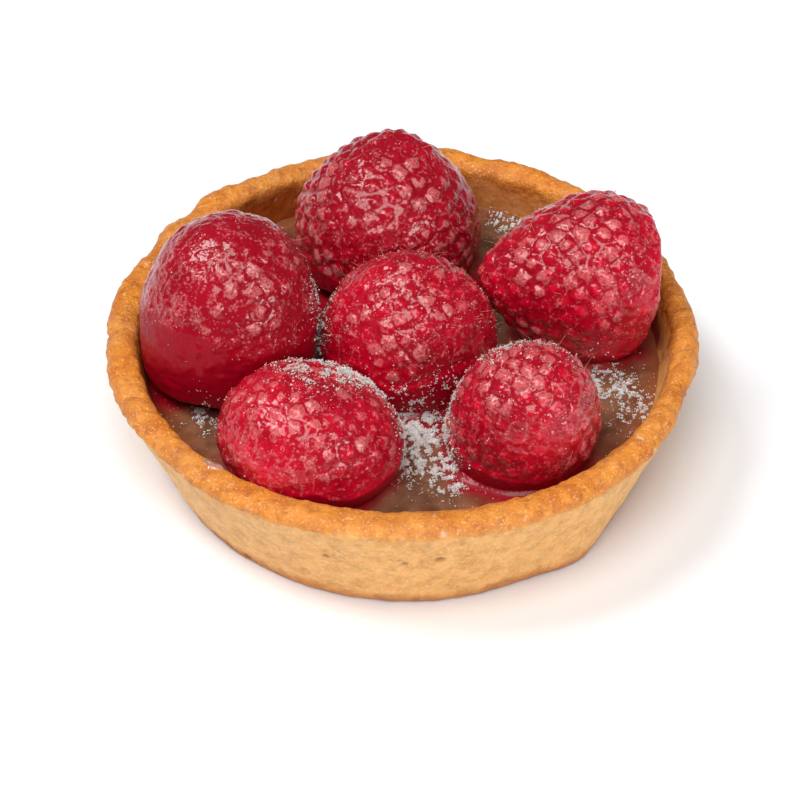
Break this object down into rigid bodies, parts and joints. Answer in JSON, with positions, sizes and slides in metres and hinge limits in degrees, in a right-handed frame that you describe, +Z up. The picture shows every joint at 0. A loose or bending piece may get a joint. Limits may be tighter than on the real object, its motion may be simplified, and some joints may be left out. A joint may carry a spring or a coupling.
{
  "type": "berry tart",
  "caption": "Small round shortcrust tartlet with flared sides, glazed cream filling and whole raspberries dusted with icing sugar.",
  "frame": {"origin": "on the table, under the middle of the tart's bounding box", "axes": "+Z up; +Y toward the back of the tart as it is pictured; +X to the right"},
  "size_m": [0.0754, 0.0756, 0.0341],
  "materials": {
    "crust": "baked shortcrust, matt and sandy, golden brown at the rim",
    "filling": "cream under a clear, glossy, grey-brown jelly glaze",
    "raspberry": "wet, glazed deep red fruit with fine hairs and icing sugar"
  },
  "bodies": {
    "root": {"crust": "crust", "filling": "filling", "raspberry_left": "raspberry", "raspberry_back": "raspberry", "raspberry_right": "raspberry", "raspberry_centre": "raspberry", "raspberry_front_left": "raspberry", "raspberry_front_right": "raspberry"}
  },
  "joints": []
}
